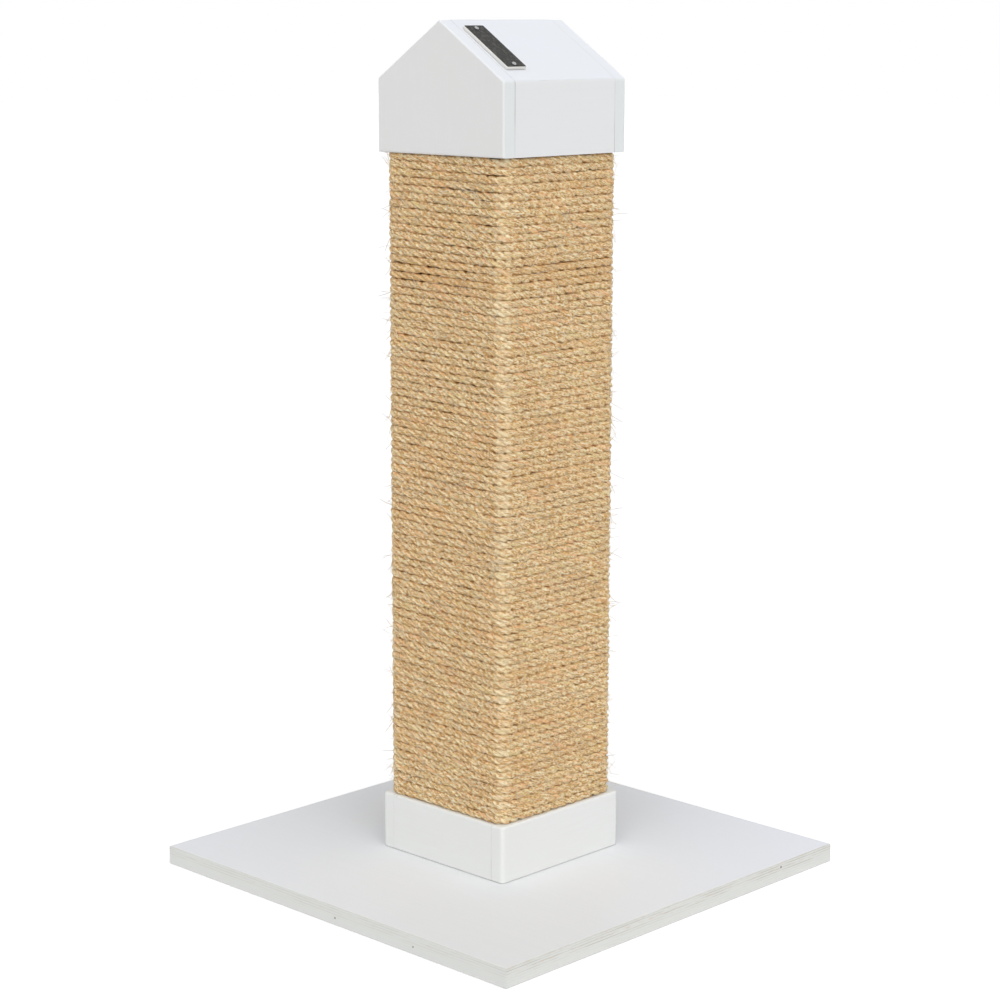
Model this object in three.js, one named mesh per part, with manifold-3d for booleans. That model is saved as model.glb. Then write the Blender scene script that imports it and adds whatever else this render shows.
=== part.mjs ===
// Square cat scratching post: a plywood base, a hollow board core wound with sisal rope, a collar of four
// boards round its foot and a house-shaped cap with a small metal plate screwed to one slope.
// Millimetres, +Z up, the origin at the middle of the underside. The gables face -Y and +Y.
import * as THREE from 'three';
import { mergeVertices } from 'three/addons/utils/BufferGeometryUtils.js';
import Module from 'manifold-3d';

const wasm = await Module();
wasm.setup();

// ---- Driving dimensions ----

// From the floor to the ridge of the cap
const postHeight = 673.4;

// Base plate
const baseWidth = 380;
const baseThickness = 15;
const baseEasing = 0.8;

// Core: two full-width boards on +X and -X, two boards between them, and a block in each end
const coreWidth = 110;
const coreBoardThickness = 12;
const coreCornerRadius = 2;
const footBlockHeight = 40;
const headBlockHeight = 30;

// Collar: boards of one section round the foot of the core
const collarBoardThickness = 12;
const collarHeight = 45;

// Cap: two gable boards, with side and roof boards between them and a plate that closes the core
const capBoardThickness = 12;
const capSkirtHeight = 56;
const roofRise = 44;
const capPlateThickness = 12;
const capPlateHeadroom = 4;

// Edges of the collar and cap boards
const boardEasing = 1.5;
const boardCornerRadius = 3;
const ridgeRadius = 1.6;

// Sisal rope. The rows fill the space from the collar to the cap at about ropeLay each, which presses them
// deeper than they are tall, and are wound in lengths of at most longestWinding rows that follow on from each
// other.
const ropeThickness = 9;
const ropeLay = 6.09;
const rowGap = 0.45;
const longestWinding = 24;
const ropeBend = 4;
const ropeHoleOffset = 30;

// Metal plate on the roof
const labelLength = 55;
const labelWidth = 21;
const labelThickness = 2.5;
const labelCornerRadius = 1;
const labelBevel = 0.4;
const labelFromRidge = 11.5;
const labelFromGable = 14.4;
const labelScrewInset = 4.2;

// Bolts that hold the post on the base, with their washers and threaded inserts
const boltFromCoreBoard = 15;
const boltDiameter = 6;
const boltShankLength = 25;
const boltHeadDiameter = 10.5;
const boltHeadHeight = 3.3;
const boltHeadRound = 1.8;
const boltKeyWidth = 4;
const boltKeyDepth = 2;
const washerDiameter = 16;
const washerThickness = 1.6;
const counterboreDepth = 6;
const insertDiameter = 10;
const insertLength = 13;
const insertFlangeDiameter = 13;
const insertFlangeThickness = 1.2;
const insertDrillDepth = 18;

// Screws through the cap plate into the head block
const capScrewFromCoreBoard = 13;
const capScrewDiameter = 4;
const capScrewHeadDiameter = 8;
const capScrewLength = 35;

// Screws that hold the metal plate
const labelScrewDiameter = 1.8;
const labelScrewHeadDiameter = 3.6;
const labelScrewHeadHeight = 1.2;
const labelScrewLength = 11;

// Clearances
const glueGap = 0.1; // between glued or seated faces
const turnedGap = 0.2; // under a piece that lies on a slope
const collarLift = 0.5; // the shadow line between the collar and the base
const drillGap = 0.15; // round a shank, head, washer or insert in its hole
const ropeSeatGap = 0.05; // between the rope and the core
const ropeEndGap = 0.3; // between the rope and the collar, the cap or its next length
const ropeHoleGap = 0.4; // round the rope where it passes through a core board
const toolOverrun = 1; // how far a cutting shape runs past the face that it opens

// Facets
const arcSteps = 3;
const roundSteps = 16;
const ropeSides = 6;
const keySides = 6;

// ---- Sizes worked out from them ----

const coreHalf = coreWidth / 2;
const coreInnerHalf = coreHalf - coreBoardThickness;
const coreBottom = baseThickness + glueGap;
const collarBottom = baseThickness + collarLift;
const collarTop = collarBottom + collarHeight;
const collarInnerHalf = coreHalf + glueGap;
const collarOuterHalf = collarInnerHalf + collarBoardThickness;

const ridgeHeight = postHeight;
const eaveHeight = ridgeHeight - roofRise;
const capBottom = eaveHeight - capSkirtHeight;
const capInnerHalf = coreHalf + glueGap;
const capOuterHalf = capInnerHalf + capBoardThickness;
const roofAngle = Math.atan2(roofRise, capOuterHalf);
const roofUprightThickness = capBoardThickness / Math.cos(roofAngle);
const innerEaveHeight = eaveHeight + capBoardThickness * Math.tan(roofAngle) - roofUprightThickness;
const capPlateTop = innerEaveHeight - capPlateHeadroom;
const capPlateBottom = capPlateTop - capPlateThickness;
const coreTop = capPlateBottom - glueGap;
const coreLength = coreTop - coreBottom;

// The rope's centre line runs at runHalf from the axis and leaves each side turnHalf from its middle, cutting
// the corner as two turns of 45 degrees do that touch the round bend. A row climbs one pitch past two sides,
// and each end of the winding takes a share of that climb.
const runHalf = coreHalf + ropeSeatGap + ropeThickness / 2;
const ropeTurnRadius = coreCornerRadius + ropeSeatGap + ropeThickness / 2;
const ropeCornerCut = ropeTurnRadius * (1 - Math.tan(Math.PI / 8));
const turnHalf = runHalf - ropeCornerCut;
const cornerRun = ropeCornerCut * Math.SQRT2;
const climbRun = 4 * turnHalf + cornerRun;
const endShare = (turnHalf - ropeHoleOffset) / climbRun;
const woundHeight = capBottom - collarTop - 2 * ropeEndGap + rowGap;
const rowCount = Math.round(woundHeight / ropeLay - 2 * endShare);
const ropePitch = woundHeight / (rowCount + 2 * endShare);
const rowHeight = ropePitch - rowGap;
const endClimb = ropePitch * endShare;
const lowestRow = collarTop + ropeEndGap + endClimb + rowHeight / 2;
const highestRow = lowestRow + (rowCount - 1) * ropePitch;
const windingCount = Math.ceil(rowCount / longestWinding);

const boltSpacing = 2 * (coreInnerHalf - boltFromCoreBoard);
const boltHeadTop = counterboreDepth - washerThickness - 2 * glueGap;
const capScrewSpacing = 2 * (coreInnerHalf - capScrewFromCoreBoard);

// ---- Materials ----

const finish = (color, roughness, metalness) => () => {
  return new THREE.MeshStandardMaterial({ color, roughness, metalness });
};
const whitePaint = finish(0xe4e6e7, 0.55, 0);
const rawWood = finish(0xc9ac7c, 0.8, 0);
const sisal = finish(0xc69c63, 0.95, 0);
const zincSteel = finish(0xb9bcc0, 0.35, 1);
const brass = finish(0xb08d45, 0.4, 1);
const darkMetal = finish(0x3b3d3f, 0.4, 1);
const brightSteel = finish(0xc9cccf, 0.25, 1);

// ---- Shape helpers ----

// Welds a geometry to shared corners and drops the triangles that close up on the axis of a lathe.
function weld(geometry) {
  const bare = geometry.clone();
  bare.deleteAttribute('normal');
  bare.deleteAttribute('uv');
  const merged = mergeVertices(bare);
  const corners = merged.index.array;
  const kept = [];
  for (let i = 0; i < corners.length; i += 3) {
    const [a, b, c] = corners.subarray(i, i + 3);
    if (a !== b && b !== c && c !== a) kept.push(a, b, c);
  }
  merged.setIndex(kept);
  merged.computeVertexNormals();
  return merged;
}

function toManifold(geometry) {
  const welded = weld(geometry);
  return new wasm.Manifold(new wasm.Mesh({
    numProp: 3,
    vertProperties: new Float32Array(welded.attributes.position.array),
    triVerts: new Uint32Array(welded.index.array),
  }));
}

// The geometry with every tool cut out of it.
function cut(geometry, tools) {
  let solid = toManifold(geometry);
  for (const tool of tools) solid = solid.subtract(toManifold(tool));
  const mesh = solid.getMesh();
  const result = new THREE.BufferGeometry();
  result.setAttribute('position', new THREE.BufferAttribute(new Float32Array(mesh.vertProperties), 3));
  result.setIndex(Array.from(mesh.triVerts));
  result.computeVertexNormals();
  return result;
}

// A solid of revolution about Z. The profile holds [radius, height] pairs, bottom to top.
function turned(profile, steps = roundSteps) {
  const points = profile.map(([radius, height]) => new THREE.Vector2(radius, height));
  return weld(new THREE.LatheGeometry(points, steps).rotateX(Math.PI / 2));
}

const rod = (radius, bottom, top) => turned([[0, bottom], [radius, bottom], [radius, top], [0, top]]);

// A stepped drill from below: the wide bore to the given depth, then the narrow one to the top.
const steppedDrill = (wide, wideDepth, narrow, top) => turned([
  [0, -toolOverrun], [wide, -toolOverrun], [wide, wideDepth], [narrow, wideDepth], [narrow, top], [0, top],
]);

// A convex outline whose corners are given as [x, y, radius], counterclockwise. Radius 0 stays sharp.
function roundedOutline(corners) {
  const outline = [];
  corners.forEach(([x, y, radius], i) => {
    const corner = new THREE.Vector2(x, y);
    if (radius === 0) {
      outline.push(corner);
      return;
    }
    const [px, py] = corners.at(i - 1);
    const [nx, ny] = corners[(i + 1) % corners.length];
    const back = new THREE.Vector2(px, py).sub(corner).normalize();
    const ahead = new THREE.Vector2(nx, ny).sub(corner).normalize();
    const halfAngle = Math.acos(back.dot(ahead)) / 2;
    const middle = back.clone().add(ahead).normalize();
    const centre = corner.clone().addScaledVector(middle, radius / Math.sin(halfAngle));
    const sweep = Math.PI - 2 * halfAngle;
    const outward = Math.atan2(-middle.y, -middle.x);
    for (let step = 0; step <= arcSteps; step++) {
      const angle = outward + sweep * (step / arcSteps - 1 / 2);
      outline.push(new THREE.Vector2(Math.cos(angle), Math.sin(angle)).multiplyScalar(radius).add(centre));
    }
  });
  return outline;
}

// The convex outline drawn in by one distance all round.
function drawnIn(outline, distance) {
  return outline.map((corner, i) => {
    const before = corner.clone().sub(outline.at(i - 1)).normalize();
    const after = outline[(i + 1) % outline.length].clone().sub(corner).normalize();
    const normal = new THREE.Vector2(-before.y - after.y, before.x + after.x).normalize();
    const reach = distance / (normal.x * -after.y + normal.y * after.x);
    return corner.clone().addScaledVector(normal, reach);
  });
}

// A board with the outline as its plan, from height 0 up, with its top edges eased by a quarter round.
function easedBoard(outline, thickness, easing) {
  const layers = [[0, 0]];
  for (let step = 0; step <= arcSteps; step++) {
    const angle = (Math.PI / 2) * (step / arcSteps);
    layers.push([thickness - easing * (1 - Math.sin(angle)), easing * (1 - Math.cos(angle))]);
  }
  const count = outline.length;
  const positions = [];
  const triangles = [];
  layers.forEach(([height, inset]) => {
    for (const corner of drawnIn(outline, inset)) positions.push(corner.x, corner.y, height);
  });
  for (let layer = 1; layer < layers.length; layer++) {
    for (let i = 0; i < count; i++) {
      const lower = (layer - 1) * count;
      const upper = layer * count;
      const next = (i + 1) % count;
      triangles.push(lower + i, lower + next, upper + next, lower + i, upper + next, upper + i);
    }
  }
  const top = (layers.length - 1) * count;
  for (const [a, b, c] of THREE.ShapeUtils.triangulateShape(outline, [])) {
    triangles.push(a, c, b, top + a, top + b, top + c);
  }
  return closedGeometry(positions, triangles);
}

function closedGeometry(positions, triangles) {
  const geometry = new THREE.BufferGeometry();
  geometry.setAttribute('position', new THREE.Float32BufferAttribute(positions, 3));
  geometry.setIndex(triangles);
  geometry.computeVertexNormals();
  return geometry;
}

// The outline extruded along Z with square edges.
function squareBoard(outline, length) {
  return weld(new THREE.ExtrudeGeometry(new THREE.Shape(outline), { depth: length, bevelEnabled: false }));
}

// Turns a geometry drawn in plan so that its plan stands in the XZ plane and its height runs to -Y.
const stoodUp = (geometry) => geometry.rotateX(Math.PI / 2);

const rectangle = (x0, y0, x1, y1, radii = [0, 0, 0, 0]) => roundedOutline([
  [x0, y0, radii[0]], [x1, y0, radii[1]], [x1, y1, radii[2]], [x0, y1, radii[3]],
]);

// The four places of a square pattern of fasteners.
function squarePattern(spacing) {
  const places = [];
  for (const y of [-spacing / 2, spacing / 2]) {
    for (const x of [-spacing / 2, spacing / 2]) places.push([x, y]);
  }
  return places;
}

// The geometry with one tool cut out of it at each place.
function cutAt(geometry, tool, places) {
  return cut(geometry, places.map(([x, y]) => tool.clone().translate(x, y, 0)));
}

// ---- The assembly ----

const post = new THREE.Group();

function add(name, geometry, material, [x, y, z] = [0, 0, 0], turn = 0, parent = post) {
  const mesh = new THREE.Mesh(geometry, material());
  mesh.name = name;
  mesh.position.set(x, y, z);
  mesh.rotation.z = turn;
  parent.add(mesh);
}

// Base plate, with a counterbored hole from beneath for each bolt.
function basePlate() {
  const half = baseWidth / 2;
  const plate = easedBoard(rectangle(-half, -half, half, half), baseThickness, baseEasing);
  const shaft = boltDiameter / 2 + drillGap;
  const bore = washerDiameter / 2 + drillGap;
  const drill = steppedDrill(bore, counterboreDepth, shaft, baseThickness + toolOverrun);
  return cutAt(plate, drill, squarePattern(boltSpacing));
}
add('base_plate', basePlate(), whitePaint);

// Bolts, washers and threaded inserts, all on the same four places.
function baseBolt() {
  const shank = boltDiameter / 2;
  const face = boltHeadTop - boltHeadHeight;
  const roundCentre = boltHeadDiameter / 2 - boltHeadRound;
  const rounded = [];
  for (let step = 0; step <= arcSteps; step++) {
    const angle = (Math.PI / 2) * (step / arcSteps);
    const height = face + boltHeadRound * (1 - Math.cos(angle));
    rounded.push([roundCentre + boltHeadRound * Math.sin(angle), height]);
  }
  const solid = turned([
    [0, face], ...rounded, [boltHeadDiameter / 2, boltHeadTop], [shank, boltHeadTop],
    [shank, boltHeadTop + boltShankLength], [0, boltHeadTop + boltShankLength],
  ]);
  const keyRadius = boltKeyWidth / 2 / Math.cos(Math.PI / keySides);
  const key = new THREE.CylinderGeometry(keyRadius, keyRadius, 2 * boltKeyDepth, keySides);
  return cut(solid, [key.rotateX(Math.PI / 2).translate(0, 0, face)]);
}

function washer() {
  const bore = boltDiameter / 2 + drillGap;
  const radius = washerDiameter / 2;
  return turned([[bore, 0], [radius, 0], [radius, washerThickness], [bore, washerThickness], [bore, 0]]);
}

function threadedInsert() {
  const bore = boltDiameter / 2 + drillGap;
  const body = insertDiameter / 2;
  const flange = insertFlangeDiameter / 2;
  return turned([
    [bore, 0], [flange, 0], [flange, insertFlangeThickness], [body, insertFlangeThickness],
    [body, insertLength], [bore, insertLength], [bore, 0],
  ]);
}

squarePattern(boltSpacing).forEach(([x, y], i) => {
  add(`base_bolt_${i + 1}`, baseBolt(), zincSteel, [x, y, 0]);
  add(`bolt_washer_${i + 1}`, washer(), zincSteel, [x, y, boltHeadTop + glueGap]);
  add(`threaded_insert_${i + 1}`, threadedInsert(), brass, [x, y, coreBottom]);
});

// Blocks that close the ends of the core.
function footBlock() {
  const half = coreInnerHalf - glueGap;
  const block = squareBoard(rectangle(-half, -half, half, half), footBlockHeight);
  const hole = insertDiameter / 2 + drillGap;
  const recess = insertFlangeDiameter / 2 + drillGap;
  const drill = steppedDrill(recess, insertFlangeThickness + drillGap, hole, insertDrillDepth);
  return cutAt(block, drill, squarePattern(boltSpacing));
}

function headBlock() {
  const half = coreInnerHalf - glueGap;
  const block = squareBoard(rectangle(-half, -half, half, half), headBlockHeight);
  const pilot = rod(capScrewDiameter / 2 + drillGap, -toolOverrun, headBlockHeight + toolOverrun);
  return cutAt(block, pilot, squarePattern(capScrewSpacing));
}
add('foot_block', footBlock(), rawWood, [0, 0, coreBottom]);
add('head_block', headBlock(), rawWood, [0, 0, coreTop - headBlockHeight]);

// The hole through which an end of the rope passes into the core. It is cut from a face at Y 0 towards -Y,
// and the rope that bends into it lies on that face towards +X.
function ropeHole() {
  const radius = rowHeight / 2 + ropeHoleGap;
  const farEnd = ropeBend + (ropeThickness / 2) * Math.tan(Math.PI / 8) + ropeHoleGap;
  const nearEnd = -ropeThickness / 2 - ropeHoleGap;
  const outline = new THREE.Shape();
  outline.absarc(farEnd - radius, 0, radius, -Math.PI / 2, Math.PI / 2);
  outline.absarc(nearEnd + radius, 0, radius, Math.PI / 2, (3 * Math.PI) / 2);
  const depth = coreBoardThickness + 2 * toolOverrun;
  const through = { depth, bevelEnabled: false, curveSegments: 2 * arcSteps };
  return stoodUp(new THREE.ExtrudeGeometry(outline, through).translate(0, 0, -toolOverrun));
}

// Core boards. The wide ones carry the rounded corners that the rope bends round.
function wideCoreBoard() {
  const radii = [0, coreCornerRadius, coreCornerRadius, 0];
  const plan = rectangle(coreInnerHalf, -coreHalf, coreHalf, coreHalf, radii);
  return squareBoard(plan, coreLength);
}

function narrowCoreBoard() {
  const half = coreInnerHalf - glueGap;
  return squareBoard(rectangle(-half, coreInnerHalf, half, coreHalf), coreLength);
}

const startHole = ropeHole().translate(ropeHoleOffset, coreHalf, lowestRow - endClimb - coreBottom);
const finishHole = ropeHole().rotateY(Math.PI).rotateZ(-Math.PI / 2)
  .translate(coreHalf, ropeHoleOffset, highestRow + endClimb - coreBottom);
add('core_board_right', wideCoreBoard(), rawWood, [0, 0, coreBottom]);
add('core_board_left', cut(wideCoreBoard(), [finishHole]), rawWood, [0, 0, coreBottom], Math.PI);
add('core_board_front', narrowCoreBoard(), rawWood, [0, 0, coreBottom], Math.PI);
add('core_board_back', cut(narrowCoreBoard(), [startHole]), rawWood, [0, 0, coreBottom]);

// Collar boards. The long ones cover the ends of the short ones.
function longCollarBoard() {
  const radii = [0, boardCornerRadius, boardCornerRadius, 0];
  const half = collarOuterHalf;
  return easedBoard(rectangle(collarInnerHalf, -half, half, half, radii), collarHeight, boardEasing);
}

function shortCollarBoard() {
  const half = collarInnerHalf - glueGap;
  const plan = rectangle(-half, collarInnerHalf, half, collarOuterHalf);
  return easedBoard(plan, collarHeight, boardEasing);
}
add('collar_board_right', longCollarBoard(), whitePaint, [0, 0, collarBottom]);
add('collar_board_left', longCollarBoard(), whitePaint, [0, 0, collarBottom], Math.PI);
add('collar_board_front', shortCollarBoard(), whitePaint, [0, 0, collarBottom], Math.PI);
add('collar_board_back', shortCollarBoard(), whitePaint, [0, 0, collarBottom]);

// ---- Rope ----

// Height gained on the climbing side after a run from the corner where the climb starts.
const climbAfter = (run) => (ropePitch * run) / climbRun;
const backHeight = (x) => climbAfter(climbRun - turnHalf + x);

// One row: level along +X and -Y, then climbing one pitch along -X and +Y.
function rowPath(height) {
  return [
    [turnHalf, runHalf, height], [runHalf, turnHalf, height],
    [runHalf, -turnHalf, height], [turnHalf, -runHalf, height],
    [-turnHalf, -runHalf, height], [-runHalf, -turnHalf, height],
    [-runHalf, turnHalf, height + climbAfter(2 * turnHalf)],
    [-turnHalf, runHalf, height + climbAfter(2 * turnHalf + cornerRun)],
  ];
}

// One winding. The first comes out of the core on +Y and the last goes into it on -X; the others start and
// stop in the middle of +Y, end to end.
function ropePath(winding) {
  const firstRow = Math.floor((winding * rowCount) / windingCount);
  const rows = Math.floor(((winding + 1) * rowCount) / windingCount) - firstRow;
  const firstHeight = lowestRow + firstRow * ropePitch;
  const tail = coreInnerHalf - ropeThickness;
  const path = [];
  if (winding === 0) {
    const height = firstHeight - endClimb;
    path.push([ropeHoleOffset, tail, height], [ropeHoleOffset, runHalf - ropeBend, height]);
    path.push([ropeHoleOffset + ropeBend, runHalf, height + climbAfter(ropeBend)]);
  } else {
    path.push([ropeEndGap / 2, runHalf, firstHeight - ropePitch + backHeight(ropeEndGap / 2)]);
  }
  for (let row = 0; row < rows; row++) path.push(...rowPath(firstHeight + row * ropePitch));
  if (winding === windingCount - 1) {
    path.length -= 2;
    const height = highestRow + endClimb;
    path.push([-runHalf, -ropeHoleOffset - ropeBend, height - climbAfter(ropeBend)]);
    path.push([ropeBend - runHalf, -ropeHoleOffset, height], [-tail, -ropeHoleOffset, height]);
  } else {
    const lastHeight = firstHeight + (rows - 1) * ropePitch;
    path.push([-ropeEndGap / 2, runHalf, lastHeight + backHeight(-ropeEndGap / 2)]);
  }
  return path.map(([x, y, z]) => new THREE.Vector3(x, y, z));
}

// Rings of corners along the path, mitred where it turns. The section stands upright, flat towards the core.
function ropeRings(path) {
  const sideways = (from, to) => new THREE.Vector3(from.y - to.y, to.x - from.x, 0).normalize();
  return path.map((point, i) => {
    const before = sideways(path[Math.max(i - 1, 0)], path[Math.max(i, 1)]);
    const after = sideways(path[Math.min(i, path.length - 2)], path[Math.min(i + 1, path.length - 1)]);
    const outward = before.clone().add(after).normalize();
    const width = ropeThickness / 2 / Math.cos(Math.PI / ropeSides) / outward.dot(after);
    const ring = [];
    for (let side = 0; side < ropeSides; side++) {
      const angle = (2 * Math.PI * (side + 1 / 2)) / ropeSides;
      const corner = point.clone().addScaledVector(outward, width * Math.cos(angle));
      ring.push(corner.setZ(corner.z + (rowHeight / 2) * Math.sin(angle)));
    }
    return ring;
  });
}

function ropeTube(rings) {
  const positions = rings.flat().flatMap((corner) => corner.toArray());
  const triangles = [];
  for (let i = 1; i < rings.length; i++) {
    for (let side = 0; side < ropeSides; side++) {
      const next = (side + 1) % ropeSides;
      const [a, b] = [(i - 1) * ropeSides + side, (i - 1) * ropeSides + next];
      triangles.push(a, b, b + ropeSides, a, b + ropeSides, a + ropeSides);
    }
  }
  const last = (rings.length - 1) * ropeSides;
  for (let side = 2; side < ropeSides; side++) {
    triangles.push(0, side, side - 1, last, last + side - 1, last + side);
  }
  return closedGeometry(positions, triangles);
}

// The least distance between points on the rope that lie more than half a row apart along it.
function leastGap(rings) {
  const pointsPerRun = 4;
  const points = [];
  for (let i = 1; i < rings.length; i++) {
    for (let part = 0; part < pointsPerRun; part++) {
      const share = part / pointsPerRun;
      rings[i].forEach((corner, side) => {
        points.push({ run: i, at: rings[i - 1][side].clone().lerp(corner, share) });
      });
    }
  }
  const halfRow = 4;
  const rowAndHalf = 12;
  let least = Infinity;
  points.forEach((point, i) => {
    for (let j = i + 1; j < points.length && points[j].run <= point.run + rowAndHalf; j++) {
      if (points[j].run > point.run + halfRow) least = Math.min(least, point.at.distanceTo(points[j].at));
    }
  });
  return least;
}

for (let winding = 0; winding < windingCount; winding++) {
  const rings = ropeRings(ropePath(winding));
  console.log(`sisal_rope_${winding + 1}: least gap to itself ${leastGap(rings).toFixed(3)} mm`);
  add(`sisal_rope_${winding + 1}`, ropeTube(rings), sisal);
}

// ---- Cap ----

// Gable boards stand across the ends of the cap and show the whole house outline.
function gableBoard() {
  const outline = roundedOutline([
    [-capOuterHalf, capBottom, 0], [capOuterHalf, capBottom, 0],
    [capOuterHalf, eaveHeight, boardCornerRadius], [0, ridgeHeight, ridgeRadius],
    [-capOuterHalf, eaveHeight, boardCornerRadius],
  ]);
  return stoodUp(easedBoard(outline, capBoardThickness, boardEasing)).translate(0, -capInnerHalf, 0);
}
add('gable_board_front', gableBoard(), whitePaint);
add('gable_board_back', gableBoard(), whitePaint, [0, 0, 0], Math.PI);

// The run of the boards between the gables.
const betweenGables = 2 * (capInnerHalf - glueGap);
function acrossGables(outline) {
  return stoodUp(squareBoard(outline, betweenGables)).translate(0, betweenGables / 2, 0);
}

// Half of the rounded edge along an eave, so that the side and roof boards meet in its middle.
function eaveRound(fromSide) {
  const turn = Math.PI / 2 - roofAngle;
  const centreX = capOuterHalf - boardCornerRadius;
  const centreZ = eaveHeight - boardCornerRadius * Math.tan(turn / 2);
  const first = fromSide ? 0 : turn / 2;
  const points = [];
  for (let step = 0; step <= arcSteps; step++) {
    const angle = first + (turn / 2) * (step / arcSteps);
    const x = centreX + boardCornerRadius * Math.cos(angle);
    points.push([x, centreZ + boardCornerRadius * Math.sin(angle)]);
  }
  return points;
}

const lowered = ([x, z]) => [x, z - glueGap];
const plan = (points) => points.map(([x, z]) => new THREE.Vector2(x, z));

function capSideBoard() {
  return acrossGables(plan([
    [capInnerHalf, capBottom], [capOuterHalf, capBottom],
    ...eaveRound(true).map(lowered), lowered([capInnerHalf, innerEaveHeight]),
  ]));
}

function roofBoard() {
  const innerRidge = ridgeHeight - roofUprightThickness;
  return acrossGables(plan([
    [capInnerHalf, innerEaveHeight], ...eaveRound(false),
    [glueGap / 2, ridgeHeight - (glueGap / 2) * Math.tan(roofAngle)],
    [glueGap / 2, innerRidge - (glueGap / 2) * Math.tan(roofAngle)],
  ]));
}

// On the roof, X runs down the +X slope from the ridge and Z points out of it.
const slope = new THREE.Group();
slope.position.set(0, labelFromGable + labelWidth / 2 - capOuterHalf, ridgeHeight);
slope.rotation.y = roofAngle;
slope.updateMatrix();
post.add(slope);
const labelMiddle = labelFromRidge + labelLength / 2;
const labelScrewPlaces = [labelFromRidge + labelScrewInset, labelFromRidge + labelLength - labelScrewInset];
const labelScrewUnderHead = turnedGap + labelThickness + glueGap;
const labelPilotDepth = labelScrewLength - labelScrewUnderHead + drillGap;

const labelPilots = labelScrewPlaces.map((x) => {
  const pilot = rod(labelScrewDiameter / 2 + drillGap, -labelPilotDepth, toolOverrun);
  return pilot.translate(x, 0, 0).applyMatrix4(slope.matrix);
});
add('cap_side_board_right', capSideBoard(), whitePaint);
add('cap_side_board_left', capSideBoard(), whitePaint, [0, 0, 0], Math.PI);
add('roof_board_right', cut(roofBoard(), labelPilots), whitePaint);
add('roof_board_left', roofBoard(), whitePaint, [0, 0, 0], Math.PI);

// Cap plate: it lies on the end of the core, screwed to the head block, and the cap's boards are glued to it.
function screwProfile(headTop) {
  const shank = capScrewDiameter / 2;
  const head = capScrewHeadDiameter / 2;
  const tip = headTop - capScrewLength;
  return [
    [0, tip], [shank, tip + capScrewDiameter], [shank, headTop - head + shank], [head, headTop], [0, headTop],
  ];
}

function capPlate() {
  const half = capInnerHalf - glueGap;
  const plate = squareBoard(rectangle(-half, -half, half, half), capPlateThickness);
  const shaft = capScrewDiameter / 2 + drillGap;
  const sink = capScrewHeadDiameter / 2 + drillGap;
  const over = capPlateThickness + toolOverrun;
  const drill = turned([
    [0, -toolOverrun], [shaft, -toolOverrun], [shaft, capPlateThickness - sink + shaft],
    [sink, capPlateThickness], [sink, over], [0, over],
  ]);
  return cutAt(plate, drill, squarePattern(capScrewSpacing));
}
add('cap_plate', capPlate(), rawWood, [0, 0, capPlateBottom]);
squarePattern(capScrewSpacing).forEach(([x, y], i) => {
  add(`cap_screw_${i + 1}`, turned(screwProfile(0)), zincSteel, [x, y, capPlateTop]);
});

// Metal plate with its two screws.
function labelPlate() {
  const halfLength = labelLength / 2 - labelBevel;
  const halfWidth = labelWidth / 2 - labelBevel;
  const radii = Array(4).fill(labelCornerRadius);
  const outline = new THREE.Shape(rectangle(-halfLength, -halfWidth, halfLength, halfWidth, radii));
  const depth = labelThickness - 2 * labelBevel;
  const bevelled = { depth, bevelThickness: labelBevel, bevelSize: labelBevel, bevelSegments: 1 };
  const blank = new THREE.ExtrudeGeometry(outline, bevelled).translate(0, 0, labelBevel);
  const hole = rod(labelScrewDiameter / 2 + drillGap, -toolOverrun, labelThickness + toolOverrun);
  return cutAt(blank, hole, labelScrewPlaces.map((x) => [x - labelMiddle, 0]));
}

function labelScrew() {
  const shank = labelScrewDiameter / 2;
  const dome = new THREE.EllipseCurve(0, 0, labelScrewHeadDiameter / 2, labelScrewHeadHeight, 0, Math.PI / 2);
  const shankEnd = labelScrewUnderHead - labelScrewLength;
  return turned([
    [0, shankEnd], [shank, shankEnd + labelScrewDiameter], [shank, labelScrewUnderHead],
    ...dome.getPoints(arcSteps).map((point) => [point.x, labelScrewUnderHead + point.y]),
  ]);
}
add('label_plate', labelPlate(), darkMetal, [labelMiddle, 0, turnedGap], 0, slope);
labelScrewPlaces.forEach((x, i) => {
  add(`label_screw_${i + 1}`, labelScrew(), brightSteel, [x, 0, 0], 0, slope);
});

export default post;
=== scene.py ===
"""Looks of a square cat scratching post: painted boards, a stained plywood base and sisal rope."""

import math

import bpy
import numpy as np
from mathutils import Matrix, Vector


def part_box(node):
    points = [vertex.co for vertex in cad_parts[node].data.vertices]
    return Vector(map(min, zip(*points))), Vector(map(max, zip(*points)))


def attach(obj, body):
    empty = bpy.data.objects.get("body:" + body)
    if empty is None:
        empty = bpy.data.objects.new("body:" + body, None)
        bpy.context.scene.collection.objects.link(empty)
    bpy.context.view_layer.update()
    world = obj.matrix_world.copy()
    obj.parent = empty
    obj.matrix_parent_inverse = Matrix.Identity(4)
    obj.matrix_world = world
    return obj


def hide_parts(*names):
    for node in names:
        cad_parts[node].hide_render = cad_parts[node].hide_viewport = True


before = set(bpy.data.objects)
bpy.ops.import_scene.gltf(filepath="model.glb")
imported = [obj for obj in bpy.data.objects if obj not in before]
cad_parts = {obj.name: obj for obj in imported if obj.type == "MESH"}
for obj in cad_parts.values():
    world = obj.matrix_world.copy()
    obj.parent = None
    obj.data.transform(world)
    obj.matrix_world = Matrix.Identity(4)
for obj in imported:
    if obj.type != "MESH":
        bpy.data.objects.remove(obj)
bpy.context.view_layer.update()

BODY = "root"
MM = 0.001
TURN = 2.0 * math.pi
QUARTER = math.pi / 2.0
X_AXIS = (1.0, 0.0, 0.0)
Z_AXIS = (0.0, 0.0, 1.0)
UP = np.array(Z_AXIS)

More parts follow.
